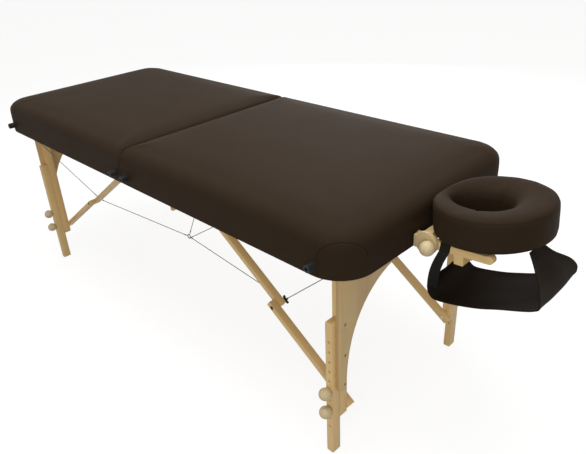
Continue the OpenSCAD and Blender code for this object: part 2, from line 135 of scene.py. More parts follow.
class Finish:
    """A material. Each call of node adds one node, set up and wired, and gives its outputs."""

    def __init__(self, name, tree=None, **shader):
        if tree is None:
            self.material = bpy.data.materials.new(name)
            self.material.use_nodes = True
            tree = self.material.node_tree
        self.tree = tree
        self.shader = tree.nodes.get("Principled BSDF")
        for socket, value in shader.items():
            self.feed(self.shader.inputs[socket.replace("_", " ")], value)

    def feed(self, socket, value):
        if isinstance(value, Wire):
            self.tree.links.new(value.socket, socket)
        elif getattr(socket, "type", "") == "RGBA" and len(value) == 3:
            socket.default_value = (*value, 1)
        else:
            socket.default_value = value

    def node(self, kind, settings=None, sockets=None):
        made = self.tree.nodes.new(kind)
        for key, value in (settings or {}).items():
            setattr(made, key, value)
        for key, value in (sockets or {}).items():
            self.feed(made.inputs[key], value)
        return [Wire(self, output) for output in made.outputs]

    def place(self):
        return self.node("ShaderNodeTexCoord")[3]

    def facing(self):
        return self.node("ShaderNodeSeparateXYZ", {}, {0: self.node("ShaderNodeTexCoord")[1]})

    def speckle(self, vector, scale, detail=2.0, rough=0.5):
        inputs = {"Vector": vector, "Scale": scale, "Detail": detail, "Roughness": rough}
        return self.node("ShaderNodeTexNoise", {}, inputs)[0]

    def mix(self, share, a, b):
        return self.node("ShaderNodeMix", {"data_type": "RGBA"}, {0: share, 6: a, 7: b})[2]

    def relief(self, height, depth, strength=1.0):
        inputs = {"Strength": strength, "Distance": depth, "Height": height}
        return self.node("ShaderNodeBump", {}, inputs)[0]

    def wear(self, **sockets):
        for socket, value in sockets.items():
            self.feed(self.shader.inputs[socket.replace("_", " ")], value)
        return self.material


PHOTO_W, FOCAL = 586, 584.3
VIEW_SHIFT = (14.8 / PHOTO_W, -5.3 / PHOTO_W)
EYE = Vector((1.610, -1.207, 1.375)) + Vector((hinge_line.x, 0, 0))
YAW, PITCH, ROLL = (math.radians(a) for a in (137.0, 27.84, -3.44))
FLOOR_BOUNCE, FLOOR_PALE, FLOOR_GLOW = (0.33, 0.33, 0.325), (0.25, 0.25, 0.248), (0.84, 0.84, 0.837)
FLOOR_HALF, FLOOR_DROP = 30, 0.0005
SKY_LIGHT, SKY_SHOWN = 0.42, 0.96
CAMERA_RAY, GLOSSY_RAY, CLEAR_RAY = 0, 3, 6
LAMPS = {  # place, target, size in metres, watts
    "overhead": ((0.2, -0.2, 3.2), (0, 0, 0.7), 2.6, 60),
    "front": ((2.4, -3.0, 1.6), (0.2, 0, 0.5), 2.2, 36),
    "rear": ((-2.0, 3.2, 1.5), (-0.2, 0, 0.5), 2.2, 22),
}


def added(name, data):
    """A new object in the scene."""
    made = bpy.data.objects.new(name, data)
    bpy.context.scene.collection.objects.link(made)
    return made


def shaded_smooth(mesh):
    mesh.polygons.foreach_set("use_smooth", [True] * len(mesh.polygons))


def mesh_piece(name, verts, faces, material=None, crease=None):
    """A new smooth piece, its faces turned outward. Edges sharper than crease, in degrees, stay sharp."""
    work = bmesh.new()
    points = [work.verts.new(p) for p in verts]
    for face in faces:
        work.faces.new([points[i] for i in face])
    bmesh.ops.recalc_face_normals(work, faces=work.faces)
    mesh = bpy.data.meshes.new(name)
    work.to_mesh(mesh)
    work.free()
    if material:
        mesh.materials.append(material)
    shaded_smooth(mesh)
    if crease:
        mesh.set_sharp_from_angle(angle=math.radians(crease))
    return added(name, mesh)


def seen_rays(finish):
    """1 for rays that show a thing itself, and 0 for those that gather its light."""
    path = finish.node("ShaderNodeLightPath")
    return path[CAMERA_RAY] + path[GLOSSY_RAY] + path[CLEAR_RAY]


eye = bpy.data.cameras.new("camera")
eye.sensor_fit = "HORIZONTAL"
eye.sensor_width = 36
eye.lens = FOCAL / PHOTO_W * eye.sensor_width
eye.shift_x, eye.shift_y = VIEW_SHIFT
eye.clip_end = 200
camera = added("camera", eye)
ahead = Vector((math.cos(YAW) * math.cos(PITCH), math.sin(YAW) * math.cos(PITCH), -math.sin(PITCH)))
level = Vector((math.sin(YAW), -math.cos(YAW), 0))
upward = level.cross(ahead)
rolled = math.cos(ROLL) * level + math.sin(ROLL) * upward
upright = math.cos(ROLL) * upward - math.sin(ROLL) * level
camera.matrix_world = Matrix.Translation(EYE) @ Matrix((rolled, upright, -ahead)).transposed().to_4x4()
bpy.context.scene.camera = camera
bpy.context.scene.view_settings.view_transform = "Standard"

paving = Finish("pale_floor", Roughness=0.9, Specular_IOR_Level=0.0, Emission_Strength=1.0)
shown = seen_rays(paving)
speck = paving.speckle(paving.place(), 6.0) * 0.03
pale = paving.mix(speck, FLOOR_PALE, FLOOR_BOUNCE)
paving.wear(Base_Color=paving.mix(shown, FLOOR_BOUNCE, pale),
            Emission_Color=paving.mix(shown, (0.0, 0.0, 0.0), FLOOR_GLOW))
corners = [(x * FLOOR_HALF, y * FLOOR_HALF, -FLOOR_DROP) for x, y in ((-1, -1), (1, -1), (1, 1), (-1, 1))]
floor = mesh_piece("floor", corners, [(0, 1, 2, 3)], paving.material)
floor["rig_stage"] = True

sky = bpy.data.worlds.new("sky")
bpy.context.scene.world = sky
sky.use_nodes = True
air = Finish("sky", sky.node_tree)
lit, white = (air.node("ShaderNodeBackground", {}, {"Color": (1.0, 1.0, 1.0), "Strength": strength})[0]
              for strength in (SKY_LIGHT, SKY_SHOWN))
both = air.node("ShaderNodeMixShader", {}, {0: seen_rays(air), 1: lit, 2: white})[0]
air.feed(sky.node_tree.nodes["World Output"].inputs[0], both)
for name, (place, target, size, watts) in LAMPS.items():
    lamp = bpy.data.lights.new(name, "AREA")
    lamp.shape = "DISK"
    lamp.size = size
    lamp.energy = watts
    made = added(name, lamp)
    made.location = place
    made.rotation_euler = (Vector(target) - Vector(place)).to_track_quat("-Z", "Y").to_euler()


# Frame, legs and braces
# Solid beech under clear satin lacquer: sawn, planed and sanded, with every edge eased by a light pass of
# the router. The grain runs along each member.
PALE_WOOD, BROWN_WOOD = (0.83, 0.58, 0.26), (0.70, 0.455, 0.178)
FLECK = (0.36, 0.20, 0.09)
EDGE_EASE, WELD = 0.0016, 2e-6
FLAT_ANGLE, SHARP_ANGLE, CREASE_ANGLE = (math.radians(a) for a in (0.5, 38, 32))


def along_grain(finish, along, stretch):
    """Surface place with one axis shortened, so that marks draw out along the grain."""
    along = Vector(along).normalized()
    side = along.orthogonal().normalized()
    place = finish.place()
    axes = (side, along.cross(side), along)
    parts = [finish.node("ShaderNodeVectorMath", {"operation": "DOT_PRODUCT"}, {0: place, 1: a})[1]
             for a in axes]
    across, through, length = parts
    drawn = finish.node("ShaderNodeCombineXYZ", {}, {0: across, 1: through, 2: length * stretch})[0]
    return across, through, drawn


def wood(name, along, pale=PALE_WOOD, brown=BROWN_WOOD, ring_gap=0.0075):
    finish = Finish(name, IOR=1.45, Specular_IOR_Level=0.3, Coat_Weight=0.05, Coat_Roughness=0.25)
    across, through, drawn = along_grain(finish, along, 0.045)
    drift = finish.speckle(drawn, 14.0, 3.0)
    year = (across * 0.8 + through * 0.6 + drift * 0.045) * (2 * math.pi / ring_gap)
    ring = (year.wave() * 0.5 + 0.5) * 0.26
    fibre = finish.speckle(drawn, 950.0, 2.0)
    cloud = finish.speckle(drawn, 5.0, 2.0)
    fleck = finish.speckle(drawn, 420.0, 1.0).between(0.66, 0.74) * 0.22
    share = ring + fibre * 0.30 + cloud * 0.45 - 0.26
    colour = finish.mix(share.between(0.0, 1.0), pale, brown)
    colour = finish.mix(fleck, colour, FLECK)
    return finish.wear(Base_Color=colour, Roughness=0.36 + fibre * 0.16,
                       Normal=finish.relief(fibre + ring, 0.00012))


def eased(node, material, width=EDGE_EASE):
    """A copy of a rigid node with its sharp edges rounded over, which stands for the node."""
    solid = frame["nodes"][node]
    work = bmesh.new()
    work.from_mesh(solid.data)
    bmesh.ops.remove_doubles(work, verts=work.verts, dist=WELD)
    bmesh.ops.dissolve_limit(work, angle_limit=FLAT_ANGLE, verts=work.verts, edges=work.edges)
    sharp = [e for e in work.edges if e.is_manifold and e.calc_face_angle(0) > SHARP_ANGLE]
    bmesh.ops.bevel(work, geom=sharp, offset=width, offset_type="OFFSET", segments=2, profile=0.5,
                    affect="EDGES", clamp_overlap=True)
    bmesh.ops.triangulate(work, faces=[f for f in work.faces if len(f.verts) > 4])
    mesh = bpy.data.meshes.new(node + "_eased")
    work.to_mesh(mesh)
    work.free()
    mesh.materials.append(material)
    shaded_smooth(mesh)
    mesh.set_sharp_from_angle(angle=CREASE_ANGLE)
    piece = added(node + "_eased", mesh)
    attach(piece, solid["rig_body"])
    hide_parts(node)
    return piece


def finished(node, material):
    """Gives a node that keeps its own form its material."""
    solid = frame["nodes"][node]
    solid.data.materials.clear()
    solid.data.materials.append(material)


wood_x = wood("beech_along_table", (1, 0, 0))
wood_y = wood("beech_across_table", (0, 1, 0))
wood_z = wood("beech_upright", (0, 0, 1))
brace_top, brace_low = joint_at["head_upper_brace_fold"], joint_at["head_lower_brace_fold"]
brace_slope = (brace_low - brace_top).normalized()
for half, way in HALVES.items():
    wood_brace = wood(f"beech_{half}_brace", (way * brace_slope.x, 0, brace_slope.z))
    eased(f"{half}_rails", wood_x)
    eased(f"{half}_end_rail", wood_y)
    eased(f"{half}_frame_blocks", wood_y)
    eased(f"{half}_upper_legs", wood_z)
    eased(f"{half}_upper_braces", wood_brace)
    eased(f"{half}_lower_braces", wood_brace)
    for side in ("near", "far"):
        eased(f"{half}_{side}_lower_leg", wood_z)
eased("cradle_sockets", wood_x)


# Arched end panels, decks and cradle platform
# Birch plywood sawn to shape. The broad faces show one flat-cut veneer, and the sawn edges show the plies
# as pale and dark stripes.
VENEER_PALE, VENEER_BROWN = (0.72, 0.51, 0.235), (0.60, 0.385, 0.155)
PLY_DARK = (0.40, 0.25, 0.12)


def plywood(name, along, thick, layers, low, high):
    """Plywood whose thin way is the thick axis, from low to high, with that many plies."""
    finish = Finish(name, IOR=1.45, Specular_IOR_Level=0.3, Coat_Weight=0.04, Coat_Roughness=0.3)
    across, through, drawn = along_grain(finish, along, 0.07)
    drift = finish.speckle(drawn, 7.0, 3.0)
    figure = ((across * 30.0 + through * 30.0 + drift * 9.0).wave() * 0.5 + 0.5) * 0.5
    fibre = finish.speckle(drawn, 800.0, 2.0)
    face = finish.mix((figure + fibre * 0.45 - 0.12).between(0.0, 1.0), VENEER_PALE, VENEER_BROWN)
    axis = "xyz".index(thick)
    depth = finish.node("ShaderNodeSeparateXYZ", {}, {0: finish.place()})[axis]
    stripe = ((depth - low) * (math.pi * layers / (high - low))).wave().between(-0.15, 0.35)
    edge = finish.mix(stripe, PLY_DARK, VENEER_PALE)
    on_face = finish.facing()[axis].size().between(0.6, 0.8)
    return finish.wear(Base_Color=finish.mix(on_face, edge, face), Roughness=0.40 + fibre * 0.15,
                       Normal=finish.relief(fibre, 0.0001))


for half in HALVES:
    low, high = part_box(f"{half}_end_panel")
    panel_ply = plywood(f"{half}_panel_plywood", (0, 0, 1), "x", 7, low.x, high.x)
    eased(f"{half}_end_panel", panel_ply, 0.0022)
    low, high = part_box(f"{half}_deck")
    finished(f"{half}_deck", plywood(f"{half}_deck_plywood", (1, 0, 0), "z", 3, low.z, high.z))


# Steel fittings
# Zinc-plated steel: the long hinge and its pin, the leg pivot rods with their bolts, the latch screws,
# studs and hooks, and the tilt bolt. The plating is dull, with fine drawing marks.
ZINC, ZINC_DULL = (0.62, 0.62, 0.60), (0.44, 0.44, 0.43)


def plated(name, along):
    finish = Finish(name, Metallic=1.0)
    drawn = along_grain(finish, along, 0.05)[2]
    scratch = finish.speckle(drawn, 1600.0, 2.0)
    stain = finish.speckle(finish.place(), 55.0, 3.0).between(0.35, 0.75)
    return finish.wear(Base_Color=finish.mix(stain * 0.7 + scratch * 0.2, ZINC, ZINC_DULL),
                       Roughness=0.26 + scratch * 0.18 + stain * 0.12,
                       Normal=finish.relief(scratch, 0.00004))


zinc_y = plated("zinc_across_table", (0, 1, 0))
zinc_x = plated("zinc_along_table", (1, 0, 0))
for node in ("foot_hinge_leaf", "head_hinge_leaf", "hinge_pin", "foot_leg_hardware", "head_leg_hardware",
             "cradle_bolt", "latch_pins", "latch_studs"):
    finished(node, zinc_y)
for node in ("inner_latch_hook", "outer_latch_hook"):
    eased(node, zinc_x, 0.0006)


# Panel screws
# Countersunk black wood screws, three down each leg, driven through the end panel until their heads lie
# just under its face. Each head has a driver recess.
SCREW_RADIUS, SCREW_SINK = 0.0040, 0.0002
SCREW_HEAD = [(-0.0016, 0.95), (-0.0003, 1.0), (0.0, 0.93), (0.00015, 0.55), (0.00005, 0.42),
              (-0.0012, 0.30), (-0.0015, 0.05)]
SCREW_PITCH, SCREW_EDGE, SCREW_INSET = 0.100, 0.017, 0.006
BLACK_STEEL, BLACK_STEEL_WORN = (0.016, 0.016, 0.017), (0.06, 0.058, 0.055)


def lofted(rings, ends="capped"):
    """Vertices and faces of a skin over rings of equal count, with its ends capped, open or looped."""
    count, total = len(rings[0]), len(rings)
    faces = []
    for j in range(total if ends == "looped" else total - 1):
        a, b = j * count, (j + 1) % total * count
        faces += [(a + i, a + (i + 1) % count, b + (i + 1) % count, b + i) for i in range(count)]
    if ends == "capped":
        last = (total - 1) * count
        faces += [tuple(range(count)), tuple(range(last, last + count))]
    return [p for ring in rings for p in ring], faces


def turned(centre, axis, profile, sides=32):
    """A turned form: a profile of (distance along the axis, radius), swept round the axis."""
    axis = Vector(axis).normalized()
    one = axis.orthogonal().normalized()
    two = axis.cross(one)
    rim = [math.cos(a) * one + math.sin(a) * two for a in (2 * math.pi * i / sides for i in range(sides))]
    return lofted([[Vector(centre) + axis * reach + radius * way for way in rim]
                   for reach, radius in profile])


def joined(*forms):
    """One form from several."""
    verts, faces = [], []
    for more_verts, more_faces in forms:
        faces += [tuple(i + len(verts) for i in face) for face in more_faces]
        verts += more_verts
    return verts, faces


def fitted(piece, body, slot, *nodes):
    """Lets a piece ride on its body and stands for the nodes. The slot is not used."""
    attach(piece, body)
    if nodes:
        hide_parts(*nodes)
    return piece


def blackened(name):
    finish = Finish(name, Metallic=0.6)
    mottle = finish.speckle(finish.place(), 120.0, 3.0)
    return finish.wear(Base_Color=finish.mix(mottle.between(0.5, 0.8) * 0.6, BLACK_STEEL, BLACK_STEEL_WORN),
                       Roughness=0.38 + mottle * 0.2, Normal=finish.relief(mottle, 0.00008))


black_steel = blackened("black_steel")
leg_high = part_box("head_upper_legs")[1]
for half, way in HALVES.items():
    low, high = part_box(f"{half}_end_panel")
    face_x = (high.x if way > 0 else low.x) - way * SCREW_SINK
    profile = [(reach, SCREW_RADIUS * share) for reach, share in SCREW_HEAD]
    lane = leg_high.y - SCREW_INSET
    heads = [turned((face_x, hand * lane, low.z + SCREW_EDGE + row * SCREW_PITCH), (way, 0, 0), profile, 20)
             for hand in (-1, 1) for row in range(3)]
    screws = mesh_piece(f"{half}_panel_screws", *joined(*heads), black_steel, 35)
    fitted(screws, f"{half}_legs", "black_steel")


# Upholstered top
# One piece of dark brown grained vinyl over each half's foam, drawn down over the rails and stapled
# to them. The foam swells under it, and a patch is sewn in at each outer corner.
VINYL, VINYL_DARK = (0.030, 0.0185, 0.0103), (0.021, 0.0130, 0.0073)
PAD_EDGE, CORNER = 0.036, 0.100
SEAM_EDGE, SEAM_CORNER, SEAM_SQUARE = 0.012, 0.010, 0.016
SQUARE_FROM, SQUARE_TO = 0.02, 0.04
CROWN, DRAW_IN, BELOW = 0.004, 0.003, 0.012
DRAW_FROM, DRAW_TO = -0.03, 0.02
CLOTH_STEPS, PRESSURE, SWELL, VOXEL, SMOOTHINGS = 20, 4.0, 0.006, 0.006, 12
HELD_ABOVE_DECK, HELD_FADE = 0.012, 0.030
HEM_TRIM, HINGE_ROOM, HINGE_DEEP, HINGE_ENDS = 0.0003, 0.008, 0.004, 0.025


def vinyl(name, pebble=0.0016, tone=VINYL, dark=VINYL_DARK):
    finish = Finish(name, IOR=1.46, Specular_IOR_Level=0.05)
    place = finish.place()
    cells = finish.node("ShaderNodeTexVoronoi", {"feature": "SMOOTH_F1"},
                        {"Vector": place, "Scale": 1 / pebble, "Smoothness": 0.6})[0]
    crease = finish.speckle(place, 0.35 / pebble, 3.0, 0.6)
    broad = finish.speckle(place, 9.0, 2.0)
    grainy = cells * 0.7 + crease * 0.6
    share = (grainy * 0.35 + broad * 0.55 - 0.25).between(0.0, 1.0)
    return finish.wear(Base_Color=finish.mix(share * 0.5, tone, dark),
                       Roughness=0.54 + crease * 0.14 + broad * 0.06,
                       Normal=finish.relief(grainy, 0.00016, 0.8))


def arc(centre, radius, start, end, steps):
    """Points on an arc, its ends included. Angles are in degrees."""
    turns = (math.radians(start + (end - start) * i / steps) for i in range(steps + 1))
    return [(centre[0] + radius * math.cos(a), centre[1] + radius * math.sin(a)) for a in turns]


vinyl_top = vinyl("brown_vinyl")
skirt_low, skirt_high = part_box("head_cover_skirt")
pad_low, pad_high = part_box("head_cushion")
under_z, pad_z, top_z = skirt_low.z, pad_low.z, pad_high.z
top_length, top_width = skirt_high.x - hinge_line.x, skirt_high.y
seam_gap = skirt_low.x - hinge_line.x


def half_plan(inset, seam_inset):
    """Outline of one half from above, drawn in at its sides and at the seam, measured from the hinge."""
    near, far, side = seam_gap + seam_inset, top_length - inset, top_width - inset
    outer = CORNER - inset
    return (arc((far - outer, outer - side), outer, -90, 0, 14)
            + arc((far - outer, side - outer), outer, 0, 90, 14)
            + arc((near + SEAM_CORNER, side - SEAM_CORNER), SEAM_CORNER, 90, 180, 5)
            + arc((near + SEAM_CORNER, SEAM_CORNER - side), SEAM_CORNER, 180, 270, 5))


def cover_form():
    """The head half's pad before it swells, closed, with its sides drawn on below the rails."""
    flat_z = top_z - CROWN - SWELL
    rings = [(0.0, 0.0, under_z - BELOW), (0.0, 0.0, flat_z - PAD_EDGE)]
    for i in range(1, 10):
        turn = math.radians(10 * i)
        z = flat_z - PAD_EDGE * (1 - math.sin(turn))
        rise = max(0.0, z - flat_z + SEAM_EDGE)
        rings.append((PAD_EDGE * (1 - math.cos(turn)), SEAM_EDGE - math.sqrt(SEAM_EDGE ** 2 - rise ** 2), z))
    return lofted([[(hinge_line.x + u, y, z) for u, y in half_plan(inset, seam_inset)]
                   for inset, seam_inset, z in rings])


def even_mesh(piece, voxel):
    """Rebuilds the piece's mesh in even squares."""
    bpy.context.view_layer.objects.active = piece
    piece.data.remesh_voxel_size = voxel
    bpy.ops.object.voxel_remesh()
    shaded_smooth(piece.data)


def swollen(piece, held, limit):
    """Lets pressure swell the piece as cloth, apart from what is held, by less than limit."""
    pins = piece.vertex_groups.new(name="held")
    for v in piece.data.vertices:
        pins.add([v.index], held(v.co), "REPLACE")
    start = [v.co.copy() for v in piece.data.vertices]
    cloth = piece.modifiers.new("cloth", "CLOTH")
    cloth.settings.use_pressure = True
    cloth.settings.uniform_pressure_force = PRESSURE
    cloth.settings.vertex_group_mass = "held"
    cloth.settings.effector_weights.gravity = 0.0
    cloth.settings.quality = 4
    cloth.collision_settings.use_collision = False
    cloth.point_cache.frame_start, cloth.point_cache.frame_end = 1, CLOTH_STEPS
    for step in range(1, CLOTH_STEPS + 1):
        bpy.context.scene.frame_set(step)
    settled = piece.evaluated_get(bpy.context.evaluated_depsgraph_get())
    moved = [v.co.copy() for v in settled.data.vertices]
    piece.modifiers.remove(cloth)
    bpy.context.scene.frame_set(1)
    for v, before, after in zip(piece.data.vertices, start, moved):
        step = after - before
        v.co = before + step * (limit / (limit + step.length))
    piece.vertex_groups.clear()


def relaxed(work, verts):
    bmesh.ops.smooth_vert(work, verts=verts, factor=0.5, use_axis_x=True, use_axis_y=True, use_axis_z=True)


def fade(value, low, high):
    """From 1 at low to 0 at high, with soft ends."""
    share = min(1.0, max(0.0, (value - low) / (high - low)))
    return 1 - share * share * (3 - 2 * share)


def pad_hold(co):
    low = pad_z + HELD_ABOVE_DECK
    return fade(co.z, low, low + HELD_FADE)


head_cover = mesh_piece("head_cover", *cover_form(), vinyl_top)
even_mesh(head_cover, VOXEL)
swollen(head_cover, pad_hold, SWELL)
work = bmesh.new()
work.from_mesh(head_cover.data)
for _ in range(SMOOTHINGS):
    relaxed(work, [v for v in work.verts if v.co.z > pad_z])
seam_x = hinge_line.x + seam_gap
for v in work.verts:
    along = (2 * (v.co.x - hinge_line.x) / top_length - 1) ** 2
    over = v.co.y / top_width
    raised = 1 - fade(v.co.z, pad_z, top_z - CROWN - SWELL)
    drawn = 1 - fade(v.co.z, pad_z + DRAW_FROM, pad_z + DRAW_TO)
    v.co.y -= DRAW_IN * over ** 9 * (1 - along) * drawn
    v.co.z += CROWN * raised * (1 - along ** 2) * (1 - over ** 4)
    from_seam, from_side = v.co.x - seam_x, top_width - abs(v.co.y)
    if max(from_seam, from_side) < SEAM_SQUARE:
        squared = max(0.0, min(from_seam, from_side)) * fade(v.co.z, pad_z + SQUARE_FROM, pad_z + SQUARE_TO)
        v.co.x -= squared
        v.co.y += math.copysign(squared, v.co.y)
    v.co.x = max(v.co.x, seam_x)


def sliced(height, clear):
    """Cuts the cover level, and clears what is below the cut if asked."""
    bmesh.ops.bisect_plane(work, geom=work.verts[:] + work.edges[:] + work.faces[:], dist=1e-7,
                           plane_co=(0, 0, height), plane_no=(0, 0, 1), clear_inner=clear)


sliced(under_z + HEM_TRIM, True)
sliced(under_z + HINGE_ROOM, False)
for_hinge = [f for f in work.faces if f.calc_center_median().z < under_z + HINGE_ROOM
             and all(v.co.x < seam_x + HINGE_DEEP for v in f.verts)
             and abs(f.calc_center_median().y) < top_width - HINGE_ENDS]
bmesh.ops.delete(work, geom=for_hinge, context="FACES")
bmesh.ops.recalc_face_normals(work, faces=work.faces)
work.to_mesh(head_cover.data)
work.free()
shaded_smooth(head_cover.data)
foot_cover = mesh_piece("foot_cover",
                        [(2 * hinge_line.x - v.co.x, v.co.y, v.co.z) for v in head_cover.data.vertices],
                        [tuple(reversed(p.vertices)) for p in head_cover.data.polygons], vinyl_top)
covers = {"head": head_cover, "foot": foot_cover}
for half, cover in covers.items():
    fitted(cover, f"{half}_half", "vinyl", f"{half}_cushion", f"{half}_cover_skirt")


# Corner patches
# The seam of the patch at each outer corner of the top: an arch with a thin welt, top-stitched along
# its lower side in brown thread.
ARCH_START, ARCH_END = math.radians(11.3), math.radians(81.5)
ARCH_FOOT, ARCH_TOP = 0.684, 0.727
WELT, WELT_THIN = 0.0009, 0.0004
ARCH_STEPS, LEG_STEPS, LEG_STEP, OUTSIDE = 48, 17, 0.003, 0.4
WELT_OVERLAP, WELT_TAPER = 3, 8
STITCH_PITCH, THREAD, STITCH_OFF = 0.0054, 0.00034, 0.0040


def tube(points, radii, sides=10, lobes=0, lay=1.0):
    """A round form along a path. With lobes it is a rope of so many strands, which turn once in a lay."""
    rings, gone, last = [], 0.0, len(points) - 1
    side = (points[1] - points[0]).orthogonal()
    for i, (place, radius) in enumerate(zip(points, radii)):
        along = (points[min(i + 1, last)] - points[max(i - 1, 0)]).normalized()
        side = (side - along * side.dot(along)).normalized()
        up = along.cross(side)
        gone += (place - points[max(i - 1, 0)]).length
        ring = []
        for k in range(sides):
            a = 2 * math.pi * k / sides
            b = a + 2 * math.pi * gone / lay if lobes else a
            bulge = 1 + 0.14 * math.cos(lobes * a) if lobes else 1
            ring.append(place + radius * bulge * (math.cos(b) * side + math.sin(b) * up))
        rings.append(ring)
    return lofted(rings)


def evenly(run, step):
    """A run of (place, way out) pairs again, at even steps along it."""
    even, reach = [run[0]], step
    for (a, out_a), (b, out_b) in zip(run, run[1:]):
        length = (b - a).length
        while reach <= length:
            even.append((a.lerp(b, reach / length), out_a.lerp(out_b, reach / length)))
            reach += step
        reach -= length
    return even


def stitches(run, pitch=STITCH_PITCH, thread=THREAD):
    """A row of sewn stitches along a run of (place, way out) pairs."""
    marks = evenly(run, pitch / 3)
    forms = []
    for k in range(0, len(marks) - 2, 3):
        (a, out_a), (b, out_b), (c, out_c) = marks[k:k + 3]
        path = [a - out_a * thread, a.lerp(b, 0.2) + out_a * thread * 0.5, b + out_b * thread * 0.8,
                c.lerp(b, 0.2) + out_c * thread * 0.5, c - out_c * thread]
        forms.append(tube(path, [thread * 0.8, thread, thread, thread, thread * 0.8], 6))
    return joined(*forms)


def surface_of(piece):
    mesh = piece.data
    return BVHTree.FromPolygons([v.co for v in mesh.vertices], [p.vertices[:] for p in mesh.polygons])


def corner_run(skin, way, hand, inset=0.0):
    """Places on the cover along one corner's seam, or inside it by inset, with the way out at each."""
    spread, rise = (ARCH_END - ARCH_START) / 2, ARCH_TOP - ARCH_FOOT - inset
    spread -= inset / CORNER
    legs = [(-1.0, ARCH_FOOT - LEG_STEP * i) for i in range(LEG_STEPS, 0, -1)]
    turns = [math.pi * i / ARCH_STEPS for i in range(ARCH_STEPS + 1)]
    arch = [(-math.cos(t), ARCH_FOOT + rise * math.sin(t)) for t in turns]
    run = []
    for share, z in legs + arch + [(1.0, z) for _, z in reversed(legs)]:
        turn = (ARCH_START + ARCH_END) / 2 + spread * share
        out = Vector((way * math.cos(turn), hand * math.sin(turn), 0))
        axis = Vector((hinge_line.x + way * (top_length - CORNER), hand * (top_width - CORNER), z))
        place, normal = skin.ray_cast(axis + out * OUTSIDE, -out)[:2]
        run.append((place, normal if normal.dot(out) > 0 else -normal))
    return run, len(legs)


thread_brown = vinyl("brown_thread", 0.0006, (0.050, 0.032, 0.020), (0.034, 0.022, 0.014))
# The welt's vinyl is darker than the cover's: painted shade for the groove along the seam.
welt_vinyl_painted_shade = vinyl("welt_vinyl_painted_shade", 0.0010, (0.017, 0.0115, 0.008), (0.010, 0.007, 0.005))
for half, way in HALVES.items():
    skin = surface_of(covers[half])
    arches, tails, rows = [], [], []
    for hand in (-1, 1):
        run, legs = corner_run(skin, way, hand)
        line = [place for place, out in run]
        arch = line[legs - WELT_OVERLAP:WELT_OVERLAP - legs]
        radii = [WELT_THIN + (WELT - WELT_THIN) * min(1, i / WELT_TAPER, (len(arch) - 1 - i) / WELT_TAPER)
                 for i in range(len(arch))]
        arches.append(tube(arch, radii))
        tails += [tube(part, [WELT_THIN] * len(part)) for part in (line[:legs - 1], line[1 - legs:])]
        inner, legs = corner_run(skin, way, hand, STITCH_OFF)
        rows.append(stitches(inner[legs:-legs]))
    fitted(mesh_piece(f"{half}_corner_welts", *joined(*arches), welt_vinyl_painted_shade), f"{half}_half", "vinyl")
    fitted(mesh_piece(f"{half}_corner_seams", *joined(*tails), vinyl_top), f"{half}_half", "vinyl")
    fitted(mesh_piece(f"{half}_corner_stitches", *joined(*rows), thread_brown), f"{half}_half", "vinyl")


# Bumpers
# Moulded black rubber feet screwed to the near rail, which the folded table stands on. Each is a hollow
# stub with a rounded rim and a screw at the bottom of its bore.
# The lighter rim colour is a painted highlight on the ends of the stubs.
RUBBER, RUBBER_WORN, RUBBER_PAINTED_HIGHLIGHT = (0.007, 0.007, 0.007), (0.018, 0.018, 0.018), (0.060, 0.060, 0.060)
BUMPER = [(0.0, 1.0), (0.06, 1.0), (0.10, 0.96), (0.86, 0.92), (0.94, 0.88), (0.985, 0.80), (1.0, 0.70),
          (1.0, 0.46), (0.985, 0.40), (0.94, 0.37), (0.60, 0.36)]


def rubber(name):
    finish = Finish(name, IOR=1.5, Specular_IOR_Level=0.16)
    dust = finish.speckle(finish.place(), 260.0, 4.0, 0.65)
    scuff = finish.speckle(finish.place(), 40.0, 2.0).between(0.45, 0.7)
    # The ends of the stubs, whose faces turn to -Y, get a painted highlight, which the scuffs vary.
    rim = (0.0 - finish.facing()[1]).between(0.35, 0.95) * (0.5 + scuff * 0.5)
    dull = finish.mix(scuff * 0.6 + dust * 0.3, RUBBER, RUBBER_WORN)
    return finish.wear(Base_Color=finish.mix(rim, dull, RUBBER_PAINTED_HIGHLIGHT),
                       Roughness=0.52 + dust * 0.2, Normal=finish.relief(dust, 0.0001))


black_rubber = rubber("black_rubber")
for half in HALVES:
    low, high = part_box(f"{half}_bumpers")
    radius, length, mid_z = (high.z - low.z) / 2, high.y - low.y, (high.z + low.z) / 2
    profile = [(reach * length, share * radius) for reach, share in BUMPER]
    stubs = [turned((x, high.y, mid_z), (0, -1, 0), profile) for x in (low.x + radius, high.x - radius)]
    fitted(mesh_piece(f"{half}_bumper_set", *joined(*stubs), black_rubber, 40), f"{half}_half", "rubber",
           f"{half}_bumpers")


# Carry handles
# Black nylon webbing, woven flat and bowed out from the far side of each half. Both ends lie on the
# cover and are sewn down in a box with a cross.
WEBBING, WEBBING_PALE = (0.0068, 0.0060, 0.0053), (0.0185, 0.0165, 0.0145)
TAB, TAB_EDGE = 0.030, 0.004
SEAM_STEPS, SEAM_PITCH = 20, 0.0036


def webbing(name, along, across):
    finish = Finish(name, IOR=1.45, Specular_IOR_Level=0.08, Sheen_Weight=0.03, Sheen_Roughness=0.4)
    place, product = finish.place(), {"operation": "DOT_PRODUCT"}
    run, wide = (finish.node("ShaderNodeVectorMath", product, {0: place, 1: Vector(a)})[1]
                 for a in (along, across))
    rib = ((run + wide.size() * 0.5) * 2600.0).wave() * 0.5 + 0.5
    rows = (wide * 3600.0).wave() * 0.5 + 0.5
    weave = rib * 0.65 + rows * 0.35
    return finish.wear(Base_Color=finish.mix(weave, WEBBING, WEBBING_PALE), Roughness=0.62 + weave * 0.2,
                       Normal=finish.relief(weave, 0.0003))


